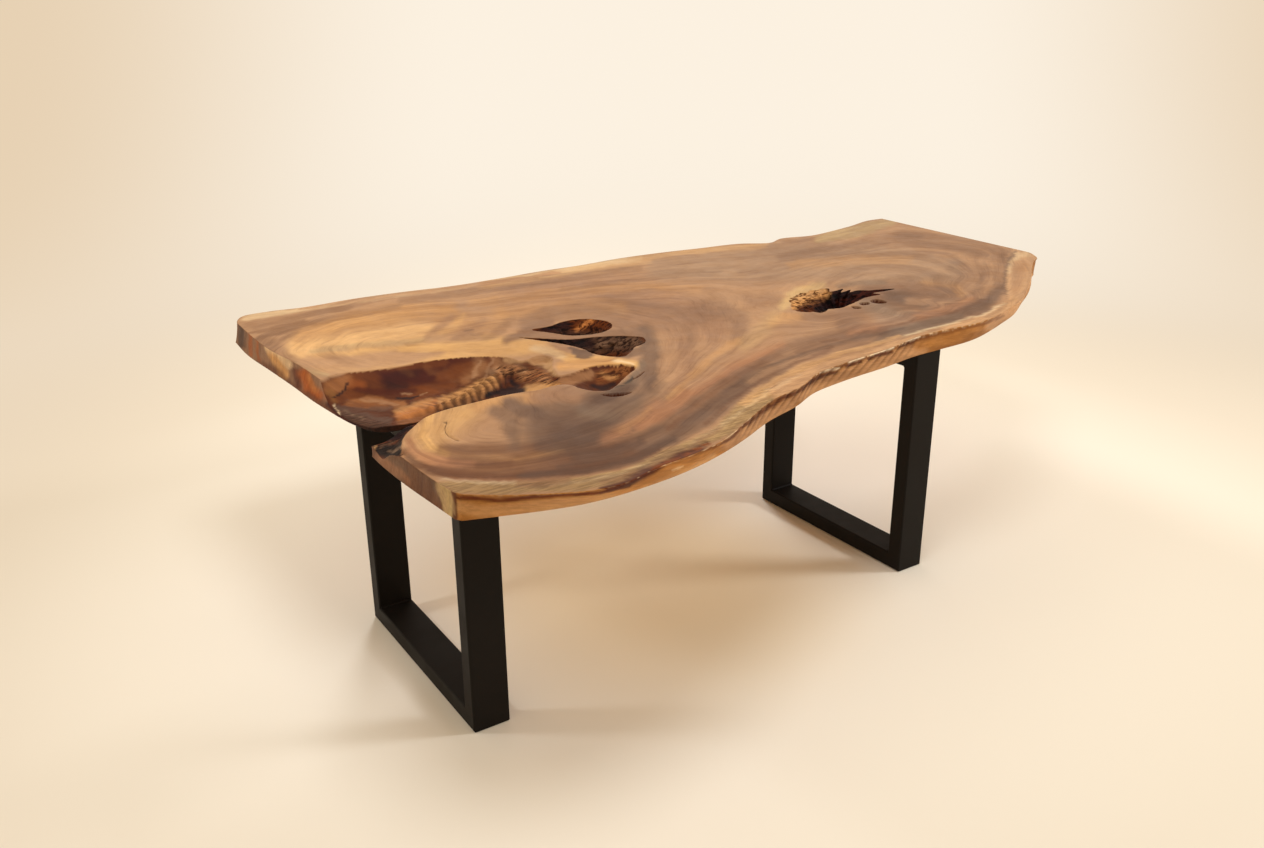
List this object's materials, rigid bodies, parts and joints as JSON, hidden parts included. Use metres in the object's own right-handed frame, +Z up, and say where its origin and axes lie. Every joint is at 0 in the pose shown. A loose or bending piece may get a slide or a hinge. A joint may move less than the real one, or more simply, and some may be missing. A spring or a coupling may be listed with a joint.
{
  "type": "live edge dining table",
  "caption": "Dining table: one thick live edge wood slab with a forked end and natural voids, bolted on two closed loop frames of rectangular steel tube.",
  "frame": {"origin": "on the floor, under the middle of the slab's bounding box", "axes": "+X along the slab from its broad forked end to its narrow end, +Y across the slab from the waisted edge to the straighter edge, +Z up"},
  "size_m": [2.8825, 1.7903, 0.78],
  "materials": {
    "oiled_slab_wood": "satin oiled hardwood",
    "black_powder_coat": "matte black powder coat",
    "zinc_plated_steel": "zinc plated",
    "pad_plastic": "matte"
  },
  "bodies": {
    "root": {"live_edge_slab": "oiled_slab_wood", "left_near_post": "black_powder_coat", "left_far_post": "black_powder_coat", "left_base_rail": "black_powder_coat", "left_top_rail": "black_powder_coat", "left_frame_welds": "black_powder_coat", "left_mounting_bolts": "zinc_plated_steel", "left_washers": "zinc_plated_steel", "left_threaded_inserts": "zinc_plated_steel", "left_floor_pads": "pad_plastic", "right_near_post": "black_powder_coat", "right_far_post": "black_powder_coat", "right_base_rail": "black_powder_coat", "right_top_rail": "black_powder_coat", "right_frame_welds": "black_powder_coat", "right_mounting_bolts": "zinc_plated_steel", "right_washers": "zinc_plated_steel", "right_threaded_inserts": "zinc_plated_steel", "right_floor_pads": "pad_plastic"}
  },
  "joints": []
}
